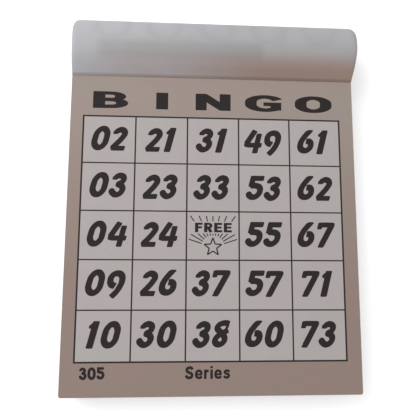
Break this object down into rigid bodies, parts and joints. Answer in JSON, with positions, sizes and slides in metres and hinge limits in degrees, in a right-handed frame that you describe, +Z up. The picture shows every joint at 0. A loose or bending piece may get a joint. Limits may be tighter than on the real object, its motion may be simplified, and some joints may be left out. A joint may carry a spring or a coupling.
{
  "type": "bingo card pad",
  "caption": "Pad of tear-off paper bingo cards on a backing board, glued at the head, with its cover sheet turned back over the head edge and under the pad.",
  "frame": {"origin": "on the table, straight below the middle of the head edge, on the underside of the cover's tucked tail", "axes": "+X to the right across the card, +Y from the foot towards the head edge, +Z up out of the card's face"},
  "size_m": [0.1108, 0.1426, 0.0197],
  "materials": {
    "card_paper": "matte uncoated newsprint with a printed tint",
    "cover_paper": "smooth uncoated white paper",
    "chipboard": "rough grey chipboard",
    "padding_glue": "milky brushed film"
  },
  "bodies": {
    "pad": {"backing_board": "chipboard", "head_glue": "padding_glue", "cards_11_20": "card_paper", "cards_21_30": "card_paper", "cards_31_40": "card_paper", "cards_41_50": "card_paper", "cards_51_60": "card_paper", "cards_61_70": "card_paper", "cards_71_80": "card_paper", "cards_81_90": "card_paper", "cards_91_100": "card_paper"},
    "card_01": {"card_01": "card_paper"},
    "card_02": {"card_02": "card_paper"},
    "card_03": {"card_03": "card_paper"},
    "card_04": {"card_04": "card_paper"},
    "card_05": {"card_05": "card_paper"},
    "card_06": {"card_06": "card_paper"},
    "card_07": {"card_07": "card_paper"},
    "card_08": {"card_08": "card_paper"},
    "card_09": {"card_09": "card_paper"},
    "card_10": {"card_10": "card_paper"},
    "cover_strip_01": {"cover_strip_01": "cover_paper"},
    "cover_strip_02": {"cover_strip_02": "cover_paper"},
    "cover_strip_03": {"cover_strip_03": "cover_paper"},
    "cover_strip_04": {"cover_strip_04": "cover_paper"},
    "cover_strip_05": {"cover_strip_05": "cover_paper"},
    "cover_strip_06": {"cover_strip_06": "cover_paper"},
    "cover_strip_07": {"cover_strip_07": "cover_paper"},
    "cover_strip_08": {"cover_strip_08": "cover_paper"},
    "cover_strip_09": {"cover_strip_09": "cover_paper"},
    "cover_strip_10": {"cover_strip_10": "cover_paper"},
    "cover_strip_11": {"cover_strip_11": "cover_paper"},
    "cover_strip_12": {"cover_strip_12": "cover_paper"},
    "cover_tail": {"cover_tail": "cover_paper"}
  },
  "joints": [
    {"name": "cover_fold", "type": "hinge", "parent": "pad", "child": "cover_strip_01", "pos_m": [0, 0, 0.01258], "axis": [1, 0, 0], "range_deg": [0, 138]},
    {"name": "cover_bend_01", "type": "hinge", "parent": "cover_strip_01", "child": "cover_strip_02", "pos_m": [0, 0.00518, 0.01724], "axis": [1, 0, 0], "range_deg": [0, 18.5]},
    {"name": "cover_bend_02", "type": "hinge", "parent": "cover_strip_02", "child": "cover_strip_03", "pos_m": [0, 0.01002, 0.01934], "axis": [1, 0, 0], "range_deg": [0, 18.5]},
    {"name": "cover_bend_03", "type": "hinge", "parent": "cover_strip_03", "child": "cover_strip_04", "pos_m": [0, 0.01382, 0.01968], "axis": [1, 0, 0], "range_deg": [0, 18.5]},
    {"name": "cover_bend_04", "type": "hinge", "parent": "cover_strip_04", "child": "cover_strip_05", "pos_m": [0, 0.017, 0.01891], "axis": [1, 0, 0], "range_deg": [0, 18.5]},
    {"name": "cover_bend_05", "type": "hinge", "parent": "cover_strip_05", "child": "cover_strip_06", "pos_m": [0, 0.01954, 0.01732], "axis": [1, 0, 0], "range_deg": [0, 18.5]},
    {"name": "cover_bend_06", "type": "hinge", "parent": "cover_strip_06", "child": "cover_strip_07", "pos_m": [0, 0.02136, 0.01511], "axis": [1, 0, 0], "range_deg": [0, 18.5]},
    {"name": "cover_bend_07", "type": "hinge", "parent": "cover_strip_07", "child": "cover_strip_08", "pos_m": [0, 0.02238, 0.01247], "axis": [1, 0, 0], "range_deg": [0, 18.5]},
    {"name": "cover_bend_08", "type": "hinge", "parent": "cover_strip_08", "child": "cover_strip_09", "pos_m": [0, 0.0225, 0.00961], "axis": [1, 0, 0], "range_deg": [0, 18.5]},
    {"name": "cover_bend_09", "type": "hinge", "parent": "cover_strip_09", "child": "cover_strip_10", "pos_m": [0, 0.02167, 0.00673], "axis": [1, 0, 0], "range_deg": [0, 18.5]},
    {"name": "cover_bend_10", "type": "hinge", "parent": "cover_strip_10", "child": "cover_strip_11", "pos_m": [0, 0.01982, 0.00403], "axis": [1, 0, 0], "range_deg": [0, 18.5]},
    {"name": "cover_bend_11", "type": "hinge", "parent": "cover_strip_11", "child": "cover_strip_12", "pos_m": [0, 0.01678, 0.00173], "axis": [1, 0, 0], "range_deg": [0, 18.5]},
    {"name": "cover_bend_12", "type": "hinge", "parent": "cover_strip_12", "child": "cover_tail", "pos_m": [0, 0.01177, 0.00006], "axis": [1, 0, 0], "range_deg": [0, 18.5]},
    {"name": "card_01_tear", "type": "slide", "parent": "pad", "child": "card_01", "axis": [0, -1, 0], "range_m": [0, 0.125]},
    {"name": "card_02_tear", "type": "slide", "parent": "pad", "child": "card_02", "axis": [0, -1, 0], "range_m": [0, 0.125]},
    {"name": "card_03_tear", "type": "slide", "parent": "pad", "child": "card_03", "axis": [0, -1, 0], "range_m": [0, 0.125]},
    {"name": "card_04_tear", "type": "slide", "parent": "pad", "child": "card_04", "axis": [0, -1, 0], "range_m": [0, 0.125]},
    {"name": "card_05_tear", "type": "slide", "parent": "pad", "child": "card_05", "axis": [0, -1, 0], "range_m": [0, 0.125]},
    {"name": "card_06_tear", "type": "slide", "parent": "pad", "child": "card_06", "axis": [0, -1, 0], "range_m": [0, 0.125]},
    {"name": "card_07_tear", "type": "slide", "parent": "pad", "child": "card_07", "axis": [0, -1, 0], "range_m": [0, 0.125]},
    {"name": "card_08_tear", "type": "slide", "parent": "pad", "child": "card_08", "axis": [0, -1, 0], "range_m": [0, 0.125]},
    {"name": "card_09_tear", "type": "slide", "parent": "pad", "child": "card_09", "axis": [0, -1, 0], "range_m": [0, 0.125]},
    {"name": "card_10_tear", "type": "slide", "parent": "pad", "child": "card_10", "axis": [0, -1, 0], "range_m": [0, 0.125]}
  ]
}
